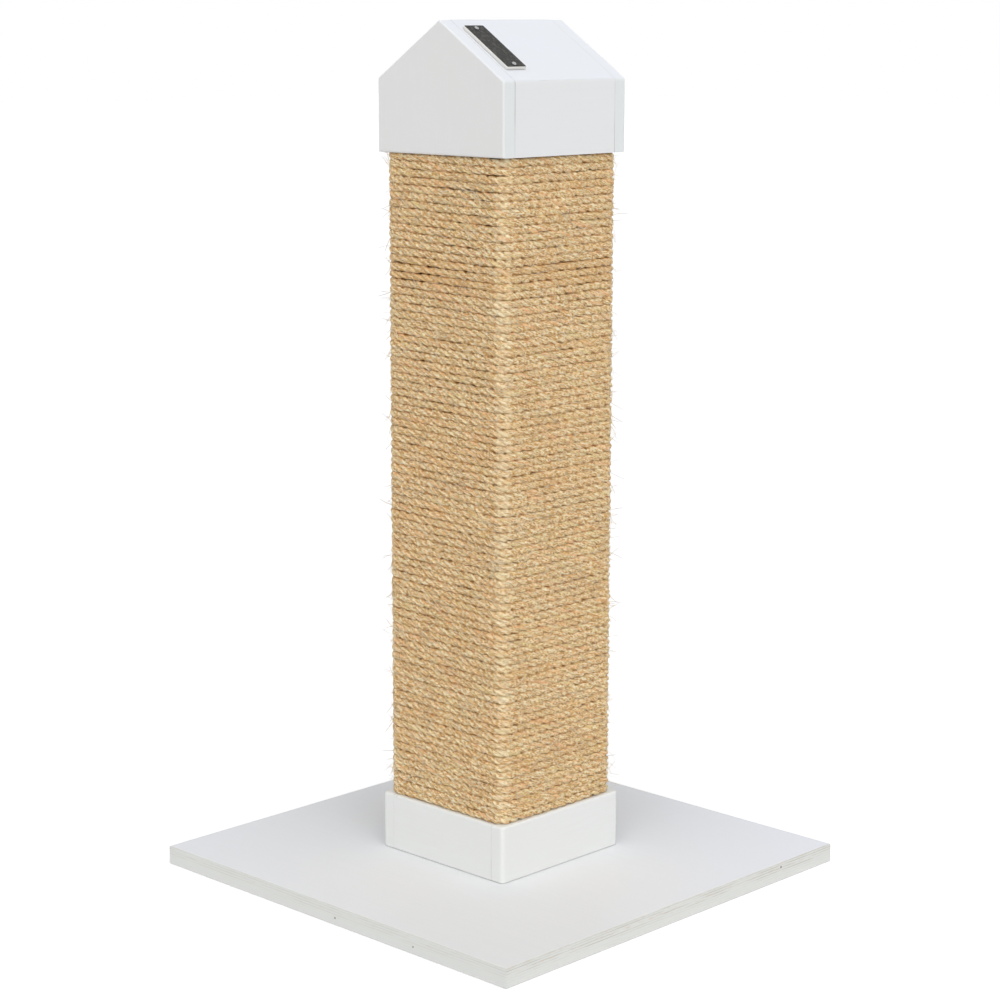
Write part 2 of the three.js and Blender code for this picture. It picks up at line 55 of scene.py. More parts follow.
# ---- Camera, in metres, degrees and millimetres of film ----
CAMERA_PLACE = (1.3417, -1.3824, 0.6762)
CAMERA_AZIMUTH = 44.17
CAMERA_DOWN = 11.04
CAMERA_ROLL = 0.08
CAMERA_FILM = 36.0
CAMERA_FOCAL = 89.35
CAMERA_CLIP = (0.05, 100.0)

# ---- Light and floor ----
SKY_EVEN = (0.262, 0.276, 0.305)
# Broad glows: the azimuth from +X and the height of each one's middle, in degrees, and its level.
SKY_GLOWS = [(-40.0, 35.0, 1.39), (-40.0, 60.0, 0.82)]
SKY_GLOW_COLOUR = (1.005, 1.0, 0.985)
SKY_GLOW_FALL = 3.0  # the power of the cosine by which a glow falls off round its middle
FLOOR_SIZE = 30.0
FLOOR_COLOUR = (0.84, 0.84, 0.84)
FLOOR_SHOWN = (0.97, 0.97, 0.97)  # its colour where it is background
FLOOR_LIFT = (0.3, 0.2)  # what is added to the background, near the object and away from it
FLOOR_LIFT_REACH = (0.25, 1.3)
FLOOR_DROP = 0.0004

# ---- Colours ----
WHITE = (1.0, 1.0, 1.0)
GABLE_WHITE = (0.787, 0.780, 0.768)
GABLE_END_WHITE = (0.778, 0.798, 0.793)
SIDE_WHITE = (0.805, 0.805, 0.808)
# The roof's white carries a painted bluish skylight tint.
ROOF_WHITE_SKY_TINTED = (0.79, 0.807, 0.845)
COLLAR_WHITE = (0.826, 0.83, 0.812)
BOARD_SHADE = (0.986, 0.986, 0.98)
BOARD_WARM = (0.992, 0.993, 0.975)
BOARD_RUBBED = (0.70, 0.685, 0.64)
# Painted shade in the narrow open gaps of the seams
SEAM_SHADE_GREY = (0.40, 0.39, 0.37)
BASE_WHITE = (0.816, 0.824, 0.826)
BASE_GREY = (0.804, 0.812, 0.814)
BASE_SKYLIGHT_TINT = (0.855, 0.875, 0.925)
PLY_PALE = (0.735, 0.742, 0.71)
PLY_LINE = (0.47, 0.43, 0.36)
PLY_END = (0.70, 0.62, 0.53)
PIT_SHADE = (0.07, 0.055, 0.045)
WOOD_PALE = (0.72, 0.55, 0.35)
WOOD_DARK = (0.52, 0.34, 0.18)
GUNMETAL = (0.041, 0.039, 0.035)
GUNMETAL_DEEP = (0.012, 0.012, 0.011)
GUNMETAL_WORN = (0.115, 0.11, 0.097)
PEWTER = (0.78, 0.76, 0.72)
STEEL = (0.60, 0.60, 0.60)
STEEL_DULL = (0.42, 0.42, 0.42)
ZINC = (0.70, 0.71, 0.73)
ZINC_DULL = (0.56, 0.57, 0.60)
BRASS = (0.70, 0.55, 0.27)
BRASS_DULL = (0.56, 0.42, 0.20)
SISAL_STRAW = (1.0, 0.90, 0.64)
SISAL_PALE = (0.965, 0.742, 0.386)
SISAL_TAN = (0.965, 0.624, 0.252)
SISAL_BROWN = (0.772, 0.43, 0.143)
SISAL_RED = (0.975, 0.55, 0.277)
SISAL_GREEN = (0.85, 0.70, 0.33)
SISAL_DEEP = (0.46, 0.235, 0.074)
SISAL_SPECK = (0.12, 0.075, 0.045)
FIBRE_PALE_HIGHLIGHT = (1.0, 0.92, 0.74)
FIBRE_TAN = (0.90, 0.70, 0.42)
FIBRE_BROWN = (0.46, 0.35, 0.22)

# ---- Boards and base, in millimetres ----
# How dark the painted shade in each kind of seam is
CAP_SEAM_DARKNESS = 0.8
COLLAR_SEAM_DARKNESS = 0.2
ROOF_SEAM_DARKNESS = 0.05
SEAM_TURN = (590.0, 605.0)  # the height at which a cap seam changes between open and filled
SEAM_REACH = (0.2, 0.6)  # from the seam's middle, to where the line begins and ends to fade
RUBBED_RADIUS = 1.3
PLIES = 7
PLY_DRIFT = 0.12  # how far a glue line strays, in plies
BARE_PLIES = (0.42, 0.56)  # heights between which the stain thins out, as shares of the thickness
BASE_RIM = (0.9, 0.96)  # and between which a darker rim comes in
BASE_DIAGONAL = (0.707, 0.707, 0.0)  # from the corner at -X and -Y to the one at +X and +Y
# Places of pits in the base's edges, painted dark as the shade inside them, with their radii.
PITS = [((190.0, 124.8, 11.3), 0.9), ((9.8, -190.0, 5.7), 0.8), ((95.0, -190.0, 5.7), 0.7)]

# ---- Rope, in millimetres. A sway is how far a thing strays, and over what length of rope. ----
ROWS = 84
WINDINGS = 4
STRANDS = 3
LAY_LENGTH = 29.4
LAY_SWAY = (0.16, 120.0)  # in turns of the lay
ROW_SWAY = (0.22, 55.0)  # up and down
FACE_SWAY = (0.2, 22.0)  # outward and inward
ROW_HALF_HEIGHT = 3.035
ROW_NESTING = 0.75  # how far a strand may reach into the hollows of the next row
ROW_CLEARANCE = 0.1  # from the collar and the cap
ROPE_HALF_HEIGHT = 3.75
ROPE_HALF_DEPTH = 4.75
CORE_HALF_DEPTH = 4.7  # the core presses the rope flat here
SECTION_SQUARENESS = 3.0
SECTION_EVENNESS = 0.8
GROOVE_DEPTH = 0.25  # between strands, as a share of the section's depth
GROOVE_NOTCH = 0.36  # and of its height
GROOVE_NOTCH_SWAY = (0.4, 8.0)  # as a share of the notch
GROOVE_SHARPNESS = 2.0
POINTS_PER_STRAND = 5
STRAND_SWELL = [(0.045, 17.0), (0.05, 6.0)]  # as shares of the depth
STRAND_WANDER = (0.16, 21.0)  # round the rope, in radians
STRAND_UNEVENNESS = (0.17, 12.0)  # as a share of the height
STRAND_ROUGHNESS = (0.25, 0.16)  # outward and upward, from point to point
ROPE_BEND = 5.65  # of the middle of the rope, round a corner of the core
HOLE_BEND = 6.8
HOLE_BEND_POINTS = 8
HOLE_OFFSET = 30.0
HOLE_TAIL = 35.0
ROPE_STEP = 2.0
ROPE_FINE_STEP = 0.5  # before the points are spaced evenly
LEVEL_SIDE_PRESS = 0.07  # how much taller the strands past +X and -X are than past -Y and +Y
FRONT_DROP = 3.0  # a row falls this much on its way to the front corner, over -Y
BACK_LEAN = 0.7  # how low a row is at the far corner of +X, as a share of the front corner's
LEVEL_ROWS_LOW = 10.0  # rows over which the first and last ones turn level
LEVEL_ROWS_HIGH = 6.0
LOOSE_ROWS = (482.0, 11.0)  # the middle and reach of a band of thinner, darker rows
LOOSE_THINNING = 0.2
LOOSE_THINNING_LENGTH = 24.0
LOOSE_DARKNESS = 0.2
LOOSE_DARKNESS_LENGTH = 30.0
TONE = 0.05
TONE_SWAYS = [(0.12, 260.0), (0.08, 55.0)]
TONE_MOST = 0.8
WEAR_AND_HIGHLIGHT_RISE = 3.0  # how soon the wear and painted highlight come in on the way round a corner
WEAR_AND_HIGHLIGHT = 0.6
WEAR_AND_HIGHLIGHT_SWAY = (0.6, 9.0)
FIBRE_TWIST = 0.5  # how far the fibres' own twist undoes the strands'
ROPE_SEED = 7
MAP_MARGIN = 1.01  # of the OFBake map
MAP_STRIP = 0.96
# Noises laid along the rope: the rate along it and across it, and the noise's detail and roughness.
SISAL_NOISES = {
    "yarns": (0.13, 0.9, 2.0, 0.55),
    "fibres": (0.2, 2.0, 4.0, 0.6),
    "flecks": (0.45, 1.2, 2.0, 0.55),
    "grains": (0.38, 0.8, 0.5, 0.55),
    "bundles": (0.045, 0.7, 3.0, 0.55),
    "tints": (0.022, 0.3, 2.0, 0.55),
}
# The colour's layers in order: a noise, its range, the share at both ends of that, and the colour.
SISAL_LAYERS = [
    ("yarns", 0.54, 0.68, 0.0, 0.7, SISAL_PALE),
    ("yarns", 0.34, 0.46, 0.7, 0.0, SISAL_BROWN),
    ("flecks", 0.54, 0.64, 0.0, 0.85, SISAL_STRAW),
    ("flecks", 0.34, 0.45, 0.7, 0.0, SISAL_BROWN),
    ("bundles", 0.5, 0.72, 0.0, 0.5, SISAL_PALE),
    ("bundles", 0.28, 0.46, 0.4, 0.0, SISAL_BROWN),
    ("grains", 0.51, 0.61, 0.0, 0.95, SISAL_STRAW),
    ("grains", 0.36, 0.465, 0.82, 0.0, SISAL_DEEP),
    ("tints", 0.54, 0.7, 0.0, 0.7, SISAL_RED),
    ("tints", 0.3, 0.44, 0.6, 0.0, SISAL_GREEN),
]

# ---- Loose fibres, in millimetres. Of two ranges, the first is for the standing ones. ----
FIBRES = 4600
FIBRE_POINTS = 6
FIBRE_SIDES = 3
FIBRE_MARGIN = 3.0  # between the roots and the collar or the cap
FIBRE_CLEARANCE = 0.4
FIBRE_SUNK = 0.7  # the roots, in the rope
FIBRE_START = 0.35
FIBRE_STANDING = 0.3  # the share of standing ones
FIBRE_LENGTHS = ((4.0, 13.0), (5.0, 17.0))
FIBRE_LIFTS = ((0.25, 0.75), (0.03, 0.16))  # as shares of the length
FIBRE_LIFT_POWER = 1.5
FIBRE_SLOPE = (0.45, 0.4)  # the mean and the spread, in radians
FIBRE_CURL = 0.22
FIBRE_RADIUS = (0.1, 0.32)
FIBRE_TAPER = 0.5
FIBRE_STOUT = (0.03, 1.6)  # the share of thick ones, and how much thicker they are
FIBRE_AWAY = 3.0  # at this distance from the rope a fibre shows its own brown
FIBRE_SEED = 11

# ---- Screws of the metal plate, in millimetres ----
SCREW_HEAD = (1.8, 1.2)  # radius and height
SCREW_SHANK = 0.9
SCREW_POINT = 1.8
SCREW_TIP = 0.1
SCREW_CROWN = 0.02  # the radius of the flat on top of the head
SCREW_SLOT = 0.3  # half the cross recess's width
SCREW_SLOT_REACH = 1.15
SCREW_SLOT_EDGES = (0.08, 0.2)  # over which its sides and its ends slope
SCREW_SLOT_DEPTH = 0.6
SCREW_RIM = 0.3  # height of the part of the head that the recess leaves whole
SCREW_RINGS = 16
SCREW_SIDES = 64


# ---- Nodes ----

def feed(tree, socket, value):
    if isinstance(value, bpy.types.NodeSocket):
        tree.links.new(value, socket)
    else:
        socket.default_value = value


def add_node(tree, kind, inputs, output=0, **settings):
    """A new node's output socket. inputs are by name or number, each a value or a socket."""
    made = tree.nodes.new("ShaderNode" + kind)
    for name, value in settings.items():
        setattr(made, name, value)
    for name, value in inputs.items():
        feed(tree, made.inputs[name], value)
    return made.outputs[output]


def background_rays(tree):
    """1 on the rays by which the background is seen, straight, in a gloss or through glass."""
    rays = tree.nodes.new("ShaderNodeLightPath").outputs
    seen = {0: rays["Is Camera Ray"], 1: rays["Is Glossy Ray"]}
    seen = add_node(tree, "Math", seen, operation="MAXIMUM")
    return add_node(tree, "Math", {0: seen, 1: rays["Is Transmission Ray"]}, operation="MAXIMUM")


class Finish:
    """A node material round one Principled shader, with short calls for the nodes that feed it."""

    def __init__(self, name, colour, roughness, metallic=0.0, specular=0.5):
        self.material = bpy.data.materials.new(name)
        self.material.use_nodes = True
        self.tree = self.material.node_tree
        self.shader = self.tree.nodes["Principled BSDF"]
        self.give("Base Color", (*colour, 1.0))
        self.give("Roughness", roughness)
        self.give("Metallic", metallic)
        self.give("Specular IOR Level", specular)

    def give(self, name, value):
        feed(self.tree, self.shader.inputs[name], value)

    def node(self, kind, inputs, output=0, **settings):
        return add_node(self.tree, kind, inputs, output, **settings)

    def attribute(self, name, output="Fac"):
        """A value that the mesh holds for each point."""
        return self.node("Attribute", {}, output, attribute_name=name)

    def place(self, scale=(1.0, 1.0, 1.0)):
        """The point on the object in millimetres, stretched by scale."""
        point = self.node("TexCoord", {}, "Object")
        return self.node("Mapping", {"Vector": point, "Scale": tuple(x / MM for x in scale)})

    def drawn_out(self, axis, rate):
        """The point on the object, so that a noise changes at only this rate along an axis."""
        return self.place([rate if letter == axis else 1.0 for letter in "xyz"])

    def coordinate(self, axis):
        return self.node("SeparateXYZ", {"Vector": self.place()}, axis.upper())

    def noise(self, vector, scale=1.0, detail=3.0, roughness=0.55):
        inputs = {"Vector": vector, "Scale": scale, "Detail": detail, "Roughness": roughness}
        return self.node("TexNoise", inputs, "Fac")

    def ranged(self, value, low, high, to_low=0.0, to_high=1.0):
        """The value from low to high as a share, or as a value from to_low to to_high."""
        names = ("Value", "From Min", "From Max", "To Min", "To Max")
        return self.node("MapRange", dict(zip(names, (value, low, high, to_low, to_high))))

    def mixed(self, share, a, b, blend="MIX"):
        """A mix of two colours. Of the Mix node's sockets, 6, 7 and the output 2 are colours."""
        a, b = (x if isinstance(x, bpy.types.NodeSocket) else (*x, 1.0) for x in (a, b))
        inputs = {0: share, 6: a, 7: b}
        return self.node("Mix", inputs, 2, data_type="RGBA", blend_type=blend)

    def tinted(self, colour, tint):
        return self.mixed(1.0, colour, tint, "MULTIPLY")

    def maths(self, operation, a, b=0.0):
        return self.node("Math", {0: a, 1: b}, operation=operation)

    def product(self, first, *others):
        for other in others:
            first = self.maths("MULTIPLY", first, other)
        return first

    def dot(self, a, b):
        return self.node("VectorMath", {0: a, 1: b}, "Value", operation="DOT_PRODUCT")

    def facing(self, axis):
        """How far the surface faces along an axis, from -1 to 1."""
        return self.dot(self.node("NewGeometry", {}, "True Normal"), axis)

    def facing_either(self, axis):
        """How far the surface faces either way along an axis, from 0 to 1."""
        return self.maths("ABSOLUTE", self.facing(axis))

    def rounded_off(self, radius):
        """How much the edges within a radius turn the surface, from 0 on a flat."""
        bent = self.node("Bevel", {"Radius": radius * MM}, samples=4)
        flat = self.node("NewGeometry", {}, "Normal")
        return self.maths("SUBTRACT", 1.0, self.dot(bent, flat))

    def bumped(self, height, depth, strength=1.0):
        inputs = {"Height": height, "Distance": depth * MM, "Strength": strength}
        self.give("Normal", self.node("Bump", inputs))


# ---- Materials ----

def seam_shade_line(finish, axis, seam_place):
    """A broken line of painted shade at the seams, which are at that place on both sides of the
    middle of an axis.

    The seam on the low side is filled towards its foot, and the other one towards its head."""
    place = finish.coordinate(axis)
    height = finish.coordinate("z")
    reach = finish.maths("SUBTRACT", finish.maths("ABSOLUTE", place), seam_place)
    line = finish.ranged(finish.maths("ABSOLUTE", reach), *SEAM_REACH, 1.0, 0.0)
    broken = finish.ranged(finish.noise(finish.drawn_out("z", 0.06), 0.6), 0.35, 0.6, 0.4, 1.0)
    foot = finish.ranged(height, *SEAM_TURN, 0.25, 1.0)
    head = finish.ranged(height, *SEAM_TURN, 1.0, 0.3)
    side = finish.ranged(place, -1.0, 1.0)
    open_share = finish.node("Mix", {0: side, 2: foot, 3: head}, data_type="FLOAT")
    # Painted shade, as in a narrow open gap, fainter where the seam is filled.
    return finish.product(line, broken, open_share)


def painted_board(name, white, grain, seam, darkness, end_white=None, sky_tinted_top_white=None):
    """White paint brushed along the grain, which shows through it faintly.

    seam is the seams' axis and place, and darkness is how dark their painted shade is."""
    finish = Finish(name, white, 0.42, specular=0.3)
    stretched = finish.drawn_out(grain, 0.05)
    strokes = finish.noise(stretched, 0.55, detail=4.0)
    pores = finish.noise(stretched, 2.4, detail=2.0)
    patches = finish.noise(finish.place(), 0.02)
    base = white
    if end_white:
        base = finish.mixed(finish.ranged(finish.facing_either(X_AXIS), 0.6, 0.9), base, end_white)
    # Faces that look up take the roof's white, with its painted skylight tint.
    if sky_tinted_top_white:
        base = finish.mixed(finish.ranged(finish.facing(Z_AXIS), 0.3, 0.7), base, sky_tinted_top_white)
    brushed = finish.mixed(finish.ranged(strokes, 0.36, 0.66), BOARD_SHADE, WHITE)
    warm = finish.tinted(base, BOARD_WARM)
    shade = finish.tinted(base, brushed)
    shade = finish.mixed(finish.ranged(patches, 0.3, 0.7, 0.0, 0.6), shade, warm)
    # Painted shade along the seams, as in narrow open gaps.
    shade = finish.mixed(finish.product(seam_shade_line(finish, *seam), darkness), shade, SEAM_SHADE_GREY)

    edge = finish.ranged(finish.rounded_off(RUBBED_RADIUS), 0.01, 0.12)
    rubbed = finish.ranged(finish.noise(finish.place(), 0.13, detail=4.0), 0.46, 0.66)
    shade = finish.mixed(finish.product(edge, rubbed, 0.5), shade, BOARD_RUBBED)
    finish.give("Base Color", shade)
    finish.give("Roughness", finish.ranged(strokes, 0.3, 0.7, 0.38, 0.5))
    finish.bumped(finish.maths("ADD", strokes, finish.product(pores, 0.35)), 0.08, 0.5)
    return finish.material


def ply_edge(finish, thickness):
    """The colour of the edges of plywood, and its glue lines."""
    height = finish.coordinate("z")
    drift = finish.noise(finish.place((0.01, 0.01, 0.0)))
    drift = finish.ranged(drift, 0.3, 0.7, -PLY_DRIFT, PLY_DRIFT)
    layer = finish.maths("ADD", finish.product(height, PLIES / thickness), drift)
    nearness = finish.maths("PINGPONG", layer, 0.5)  # 0 on a glue line, 0.5 in the middle of a ply
    odd = finish.maths("PINGPONG", layer, 1.0)
    # The upper plies and the edges that face +X and -X have less stain.
    upper = finish.ranged(height, *(share * thickness for share in BARE_PLIES), 0.15, 1.0)
    bare = finish.product(upper, finish.ranged(finish.facing_either(X_AXIS), 0.0, 1.0, 0.45, 1.0))
    broken = finish.noise(finish.place((0.035, 0.035, 0.5)), detail=4.0)
    speckle = finish.noise(finish.place((0.11, 0.11, 0.5)))
    line = finish.ranged(nearness, 0.05, 0.22, 1.0, 0.0)
    line = finish.product(line, finish.ranged(broken, 0.38, 0.58))
    ends = finish.product(finish.ranged(odd, 0.35, 0.6), finish.ranged(speckle, 0.5, 0.66))
    rim = finish.ranged(height, *(share * thickness for share in BASE_RIM), 0.0, 0.3)
    edge = finish.mixed(finish.product(ends, bare, 0.8), PLY_PALE, PLY_END)
    edge = finish.mixed(finish.product(line, bare, 0.75), edge, PLY_LINE)
    edge = finish.mixed(finish.product(rim, bare), edge, PLY_LINE)
    # Painted shade in the pits of the edges.
    for middle, radius in PITS:
        between = {0: finish.place(), 1: middle}
        away = finish.node("VectorMath", between, "Value", operation="DISTANCE")
        pit = finish.ranged(away, 0.6 * radius, 1.3 * radius, 0.9, 0.0)
        edge = finish.mixed(pit, edge, PIT_SHADE)
    return edge, line


def stained_plywood(thickness):
    """White stain on a birch face, with the plies showing on the edges."""
    finish = Finish("stained_plywood", BASE_WHITE, 0.5, specular=0.15)
    along = finish.drawn_out("x", 0.03)
    grain = finish.noise(along, 0.35, detail=5.0)
    pores = finish.noise(along, 1.6, detail=2.0)
    face = finish.mixed(finish.ranged(grain, 0.35, 0.68), BASE_GREY, BASE_WHITE)
    # Painted bluish light on the top face, fully towards the corner at +X and +Y and partly towards
    # the one at -X and -Y.
    corner = finish.dot(finish.place(), BASE_DIAGONAL)
    face = finish.mixed(finish.ranged(corner, 60.0, 250.0), face, BASE_SKYLIGHT_TINT)
    face = finish.mixed(finish.ranged(corner, -60.0, -250.0, 0.0, 0.45), face, BASE_SKYLIGHT_TINT)
    edge, line = ply_edge(finish, thickness)
    flat = finish.ranged(finish.facing_either(Z_AXIS), 0.9, 0.985)
    finish.give("Base Color", finish.mixed(flat, edge, face))
    relief = finish.maths("ADD", grain, finish.product(pores, 0.4))
    finish.bumped(finish.maths("SUBTRACT", relief, line), 0.12, 0.5)
    return finish.material


def raw_wood(name, grain):
    """Unpainted softwood with its growth rings drawn out along the grain."""
    finish = Finish(name, WOOD_PALE, 0.7, specular=0.25)
    stretched = finish.drawn_out(grain, 0.03)
    bands = {"Scale": 0.09, "Distortion": 6.0, "Detail": 3.0, "Detail Scale": 0.8}
    rings = finish.node("TexWave", {"Vector": stretched, **bands}, "Fac", wave_type="RINGS")
    fibres = finish.noise(stretched, 1.4, detail=4.0)
    shade = finish.mixed(finish.ranged(rings, 0.25, 0.95), WOOD_PALE, WOOD_DARK)
    shade = finish.mixed(finish.ranged(fibres, 0.3, 0.7, 0.0, 0.5), shade, WOOD_PALE)
    finish.give("Base Color", shade)
    finish.bumped(fibres, 0.15, 0.6)
    return finish.material


def worked_metal(name, colour, dull, roughness):
    """Plated or turned metal with fine marks and a slightly uneven colour."""
    finish = Finish(name, colour, roughness, metallic=1.0)
    marks = finish.noise(finish.place(), 1.2, detail=5.0)
    finish.give("Base Color", finish.mixed(finish.ranged(marks, 0.35, 0.7), dull, colour))
    finish.give("Roughness", finish.ranged(marks, 0.3, 0.7, roughness * 0.8, roughness * 1.3))
    finish.bumped(marks, 0.03, 0.5)
    return finish.material


def gunmetal_plate(outward):
    """Cast plate: dark pebbled face, and bright worn metal on its bevel and sides."""
    finish = Finish("gunmetal", GUNMETAL, 0.5, metallic=0.3, specular=0.2)
    pebbles = finish.noise(finish.place(), 0.5, detail=4.0, roughness=0.65)
    wear = finish.noise(finish.place(), 0.35)
    face = finish.ranged(finish.facing(outward), 0.93, 0.99)
    dark = finish.mixed(finish.ranged(pebbles, 0.35, 0.7), GUNMETAL_DEEP, GUNMETAL)
    dark = finish.mixed(finish.ranged(wear, 0.5, 0.7, 0.0, 0.55), dark, GUNMETAL_WORN)
    finish.give("Base Color", finish.mixed(face, PEWTER, dark))
    finish.give("Roughness", finish.ranged(pebbles, 0.3, 0.7, 0.38, 0.55))
    finish.bumped(pebbles, 0.3, 0.8)
    return finish.material


def sisal():
    """Twisted sisal. The attribute lay is the point on the rope drawn out straight, untwisted."""
    finish = Finish("sisal", SISAL_TAN, 0.7, specular=0.25)
    lay = finish.attribute("lay", "Vector")

    def along(lengthways, across):
        return finish.node("Mapping", {"Vector": lay, "Scale": (lengthways, across, across)})

    noises = {
        name: finish.noise(along(lengthways, across), 1.0, detail, roughness)
        for name, (lengthways, across, detail, roughness) in SISAL_NOISES.items()
    }
    yarns, fibres, grains = noises["yarns"], noises["fibres"], noises["grains"]
    colour = finish.mixed(finish.ranged(fibres, 0.36, 0.66), SISAL_BROWN, SISAL_PALE)
    colour = finish.mixed(0.35, colour, SISAL_TAN)
    for name, *limits, layer in SISAL_LAYERS:
        colour = finish.mixed(finish.ranged(noises[name], *limits), colour, layer)
    # Paler at the corners, partly wear and partly a painted highlight.
    colour = finish.mixed(finish.product(finish.attribute("wear"), 0.35), colour, SISAL_STRAW)
    # Painted shade in the grooves between the strands.
    colour = finish.mixed(finish.product(finish.attribute("depth"), 0.25), colour, SISAL_DEEP)
    colour = finish.mixed(finish.attribute("tone"), colour, SISAL_BROWN)
    specks = finish.node("TexVoronoi", {"Vector": along(0.02, 0.16), "Scale": 1.0}, "Distance")
    colour = finish.mixed(finish.ranged(specks, 0.03, 0.07, 0.8, 0.0), colour, SISAL_SPECK)
    finish.give("Base Color", colour)
    finish.give("Roughness", finish.ranged(fibres, 0.3, 0.7, 0.8, 0.6))
    relief = finish.product(finish.maths("ADD", grains, fibres), 0.5)
    finish.bumped(finish.maths("ADD", yarns, relief), 0.7)
    return finish.material


def loose_fibre():
    """Single fibres, painted paler near the rope as a highlight, and browner where they stand away
    from it.
    """
    finish = Finish("loose_fibre", FIBRE_PALE_HIGHLIGHT, 0.6, specular=0.3)
    shade = finish.noise(finish.place(), 0.25, detail=2.0)
    # Near the rope a fibre is painted paler than its own brown, as a painted highlight.
    colour = finish.mixed(finish.ranged(shade, 0.35, 0.65), FIBRE_TAN, FIBRE_PALE_HIGHLIGHT)
    finish.give("Base Color", finish.mixed(finish.attribute("tone"), colour, FIBRE_BROWN))
    return finish.material


# ---- Mesh pieces ----

def mesh_piece(name, points, faces, material, replaced=()):
    """A piece of the object from points in millimetres."""
    mesh = bpy.data.meshes.new(name)
    mesh.from_pydata((np.asarray(points) * MM).tolist(), [], faces)
    mesh.shade_smooth()
    mesh.materials.append(material)
    piece = bpy.data.objects.new(name, mesh)
    bpy.context.scene.collection.objects.link(piece)
    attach(piece, BODY)
    if replaced:
        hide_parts(*replaced)
    return piece


def tube_faces(rings, sides):
    """The quads round a tube of that many rings, and the faces at its two ends."""
    around = np.arange(sides)
    start = np.arange(rings - 1)[:, None] * sides
    a, b = start + around, start + (around + 1) % sides
    quads = np.stack([a, b, b + sides, a + sides], -1).reshape(-1, 4)
    return quads, np.stack([around[::-1], (rings - 1) * sides + around])


def give_values(mesh, name, values):
    """A value for each point, which a material reads by name."""
    layer = mesh.attributes.new(name, "FLOAT", "POINT")
    layer.data.foreach_set("value", values.astype(np.float32).ravel())


def smooth_random(run, wavelength, random):
    """A smooth random curve from -1 to 1 along run, with about that wavelength."""
    knots = random.uniform(-1.0, 1.0, int(run[-1] / wavelength) + 3)
    at = run / wavelength
    low = at.astype(int)
    share = at - low
    share = share * share * (3.0 - 2.0 * share)
    return knots[low] * (1.0 - share) + knots[low + 1] * share


def swayed(run, random, *sways):
    """A smooth random curve along run, made up of sways."""
    return sum(size * smooth_random(run, wavelength, random) for size, wavelength in sways)


# ---- Rope ----

collar_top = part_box("collar_board_right")[1].z / MM
cap_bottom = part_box("cap_side_board_right")[0].z / MM
core_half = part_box("core_board_right")[1].x / MM
rope_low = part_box("sisal_rope_1")[0].z / MM
rope_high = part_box(f"sisal_rope_{WINDINGS}")[1].z / MM

run_half = core_half + CORE_HALF_DEPTH
straight_half = run_half - ROPE_BEND
corner_radius = ROPE_BEND + ROPE_HALF_DEPTH
loop_length = 8.0 * straight_half + TURN * corner_radius  # on the rope's outer face
# Turns are counted from the middle of +Y. The winding starts from its hole there and ends on -X.
first_turn = (HOLE_OFFSET + HOLE_BEND) / loop_length
last_run = TURN / 8.0 * corner_radius + straight_half - HOLE_OFFSET - HOLE_BEND
last_turn = ROWS - 1 + 5.0 / 8.0 + last_run / loop_length


def along_loop(share):
    """Points at shares of a turn, clockwise from above from the middle of +Y, and the way out."""
    run = (share % 1.0) * loop_length
    quarter = loop_length / 4.0
    side = np.floor((run + quarter / 2.0) / quarter)
    local = run - side * quarter  # from the middle of that side
    ahead = np.clip(local, -straight_half, straight_half)
    angle = (local - ahead) / corner_radius + side * QUARTER
    outward = np.stack([np.sin(angle), np.cos(angle), np.zeros(len(angle))], 1)
    angle = side * QUARTER
    x = ahead * np.cos(angle) + straight_half * np.sin(angle)
    y = straight_half * np.cos(angle) - ahead * np.sin(angle)
    return np.stack([x, y, np.zeros(len(x))], 1) + ROPE_BEND * outward, outward


def row_heights(turns):
    """The rope's height: nearly level past +X, rising past -Y, and climbing past -X and +Y."""
    lowest = max(collar_top, rope_low) + ROW_HALF_HEIGHT
    highest = min(cap_bottom, rope_high) - ROW_HALF_HEIGHT
    rows = np.arange(ROWS + 1)
    level = lowest + (highest - lowest) * rows / (ROWS - 1)
    lean = np.clip(rows / LEVEL_ROWS_LOW, 0.0, 1.0)
    lean = lean * np.clip((ROWS + 1 - rows) / LEVEL_ROWS_HIGH, 0.0, 1.0) * FRONT_DROP / 2.0
    knots = np.stack([level - BACK_LEAN * lean, level - lean, level + lean], 1).ravel()
    turns_at = (rows[:, None] + np.array([1.0, 3.0, 5.0]) / 8.0).ravel()
    return np.interp(turns, turns_at, knots)


